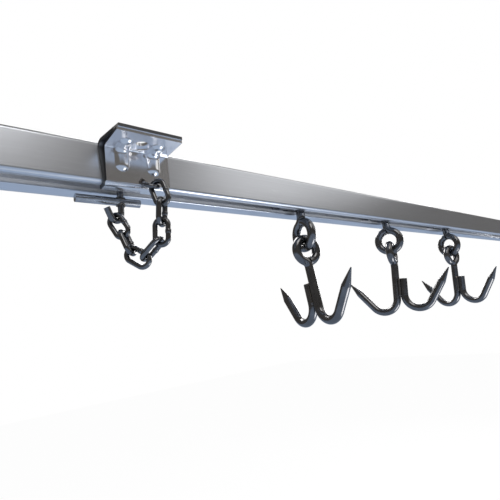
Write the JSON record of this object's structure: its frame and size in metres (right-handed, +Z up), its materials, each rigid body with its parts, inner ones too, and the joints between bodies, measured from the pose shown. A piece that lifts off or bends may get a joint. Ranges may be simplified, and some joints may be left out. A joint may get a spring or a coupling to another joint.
{
  "type": "meat rail with sliding hook trolleys",
  "caption": "Box-section overhead rail with a ceiling bracket, a chained stop bar and sliding trolleys that carry swivelling double meat hooks.",
  "frame": {"origin": "centre of the fixing hole on the upper face of the bracket's flange", "axes": "+X along the rail towards the hooks, +Y from the flange to the rail, +Z up"},
  "size_m": [1.21, 0.1612, 0.1935],
  "materials": {
    "rail": "satin",
    "bracket": "polished",
    "chain": "bright",
    "stop": "satin",
    "wheels": "turned",
    "trolley": "satin",
    "hooks": "polished"
  },
  "bodies": {
    "frame": {"rail": "rail", "saddle": "bracket", "flange_angle": "bracket", "chain_staple": "chain", "stop_head": "stop", "stop_stem": "stop", "stop_grip": "stop", "stop_hook": "stop"},
    "chain": {"chain_link_1": "chain", "chain_link_2": "chain", "chain_link_3": "chain", "chain_link_4": "chain", "chain_link_5": "chain", "chain_link_6": "chain", "chain_link_7": "chain"},
    "trolley_1": {"body_1": "trolley", "axle_1a": "trolley", "axle_1b": "trolley"},
    "eye_1": {"washer_1": "trolley", "nut_1": "trolley", "eye_bolt_1": "hooks"},
    "double_hook_1": {"hook_1": "hooks", "hook_arm_1": "hooks"},
    "roller_1a": {"wheel_1a": "wheels"},
    "roller_1b": {"wheel_1b": "wheels"},
    "roller_1c": {"wheel_1c": "wheels"},
    "roller_1d": {"wheel_1d": "wheels"},
    "trolley_2": {"body_2": "trolley", "axle_2a": "trolley", "axle_2b": "trolley"},
    "eye_2": {"washer_2": "trolley", "nut_2": "trolley", "eye_bolt_2": "hooks"},
    "double_hook_2": {"hook_2": "hooks", "hook_arm_2": "hooks"},
    "roller_2a": {"wheel_2a": "wheels"},
    "roller_2b": {"wheel_2b": "wheels"},
    "roller_2c": {"wheel_2c": "wheels"},
    "roller_2d": {"wheel_2d": "wheels"},
    "trolley_3": {"body_3": "trolley", "axle_3a": "trolley", "axle_3b": "trolley"},
    "eye_3": {"washer_3": "trolley", "nut_3": "trolley", "eye_bolt_3": "hooks"},
    "double_hook_3": {"hook_3": "hooks", "hook_arm_3": "hooks"},
    "roller_3a": {"wheel_3a": "wheels"},
    "roller_3b": {"wheel_3b": "wheels"},
    "roller_3c": {"wheel_3c": "wheels"},
    "roller_3d": {"wheel_3d": "wheels"}
  },
  "joints": [
    {"name": "chain_swing", "type": "hinge", "parent": "frame", "child": "chain", "pos_m": [0.01346, 0.00188, -0.04393], "axis": [-0.5485, 0.6866, -0.4772], "range_deg": [-5, 4]},
    {"name": "trolley_1_slide", "type": "slide", "parent": "frame", "child": "trolley_1", "axis": [1, 0, 0], "range_m": [-0.12, 0.02]},
    {"name": "wheel_1a_spin", "type": "hinge", "parent": "trolley_1", "child": "roller_1a", "pos_m": [0.228, 0.041, -0.02403], "axis": [0, 1, 0], "continuous": true},
    {"name": "wheel_1b_spin", "type": "hinge", "parent": "trolley_1", "child": "roller_1b", "pos_m": [0.228, 0.041, -0.02403], "axis": [0, 1, 0], "continuous": true},
    {"name": "wheel_1c_spin", "type": "hinge", "parent": "trolley_1", "child": "roller_1c", "pos_m": [0.268, 0.041, -0.02403], "axis": [0, 1, 0], "continuous": true},
    {"name": "wheel_1d_spin", "type": "hinge", "parent": "trolley_1", "child": "roller_1d", "pos_m": [0.268, 0.041, -0.02403], "axis": [0, 1, 0], "continuous": true},
    {"name": "eye_1_swivel", "type": "hinge", "parent": "trolley_1", "child": "eye_1", "pos_m": [0.248, 0.041, -0.023], "axis": [0, 0, 1], "continuous": true},
    {"name": "hook_1_swing", "type": "hinge", "parent": "eye_1", "child": "double_hook_1", "pos_m": [0.248, 0.041, -0.0867], "axis": [0.2079, 0.9781, 0], "range_deg": [-25, 25]},
    {"name": "trolley_2_slide", "type": "slide", "parent": "frame", "child": "trolley_2", "axis": [1, 0, 0], "range_m": [-0.02, 0.03]},
    {"name": "wheel_2a_spin", "type": "hinge", "parent": "trolley_2", "child": "roller_2a", "pos_m": [0.441, 0.041, -0.02403], "axis": [0, 1, 0], "continuous": true},
    {"name": "wheel_2b_spin", "type": "hinge", "parent": "trolley_2", "child": "roller_2b", "pos_m": [0.441, 0.041, -0.02403], "axis": [0, 1, 0], "continuous": true},
    {"name": "wheel_2c_spin", "type": "hinge", "parent": "trolley_2", "child": "roller_2c", "pos_m": [0.481, 0.041, -0.02403], "axis": [0, 1, 0], "continuous": true},
    {"name": "wheel_2d_spin", "type": "hinge", "parent": "trolley_2", "child": "roller_2d", "pos_m": [0.481, 0.041, -0.02403], "axis": [0, 1, 0], "continuous": true},
    {"name": "eye_2_swivel", "type": "hinge", "parent": "trolley_2", "child": "eye_2", "pos_m": [0.461, 0.041, -0.023], "axis": [0, 0, 1], "continuous": true},
    {"name": "hook_2_swing", "type": "hinge", "parent": "eye_2", "child": "double_hook_2", "pos_m": [0.461, 0.041, -0.0867], "axis": [0.3338, -0.9426, 0], "range_deg": [-25, 25]},
    {"name": "trolley_3_slide", "type": "slide", "parent": "frame", "child": "trolley_3", "axis": [1, 0, 0], "range_m": [-0.03, 0.17]},
    {"name": "wheel_3a_spin", "type": "hinge", "parent": "trolley_3", "child": "roller_3a", "pos_m": [0.6675, 0.041, -0.02403], "axis": [0, 1, 0], "continuous": true},
    {"name": "wheel_3b_spin", "type": "hinge", "parent": "trolley_3", "child": "roller_3b", "pos_m": [0.6675, 0.041, -0.02403], "axis": [0, 1, 0], "continuous": true},
    {"name": "wheel_3c_spin", "type": "hinge", "parent": "trolley_3", "child": "roller_3c", "pos_m": [0.7075, 0.041, -0.02403], "axis": [0, 1, 0], "continuous": true},
    {"name": "wheel_3d_spin", "type": "hinge", "parent": "trolley_3", "child": "roller_3d", "pos_m": [0.7075, 0.041, -0.02403], "axis": [0, 1, 0], "continuous": true},
    {"name": "eye_3_swivel", "type": "hinge", "parent": "trolley_3", "child": "eye_3", "pos_m": [0.6875, 0.041, -0.023], "axis": [0, 0, 1], "continuous": true},
    {"name": "hook_3_swing", "type": "hinge", "parent": "eye_3", "child": "double_hook_3", "pos_m": [0.6875, 0.041, -0.0867], "axis": [-0.1392, -0.9903, 0], "range_deg": [-25, 25]}
  ],
  "couplings": [
    {"joint": "wheel_1a_spin", "follows": "trolley_1_slide", "rad_per_m": 83.333},
    {"joint": "wheel_1b_spin", "follows": "trolley_1_slide", "rad_per_m": 83.333},
    {"joint": "wheel_1c_spin", "follows": "trolley_1_slide", "rad_per_m": 83.333},
    {"joint": "wheel_1d_spin", "follows": "trolley_1_slide", "rad_per_m": 83.333},
    {"joint": "wheel_2a_spin", "follows": "trolley_2_slide", "rad_per_m": 83.333},
    {"joint": "wheel_2b_spin", "follows": "trolley_2_slide", "rad_per_m": 83.333},
    {"joint": "wheel_2c_spin", "follows": "trolley_2_slide", "rad_per_m": 83.333},
    {"joint": "wheel_2d_spin", "follows": "trolley_2_slide", "rad_per_m": 83.333},
    {"joint": "wheel_3a_spin", "follows": "trolley_3_slide", "rad_per_m": 83.333},
    {"joint": "wheel_3b_spin", "follows": "trolley_3_slide", "rad_per_m": 83.333},
    {"joint": "wheel_3c_spin", "follows": "trolley_3_slide", "rad_per_m": 83.333},
    {"joint": "wheel_3d_spin", "follows": "trolley_3_slide", "rad_per_m": 83.333}
  ]
}
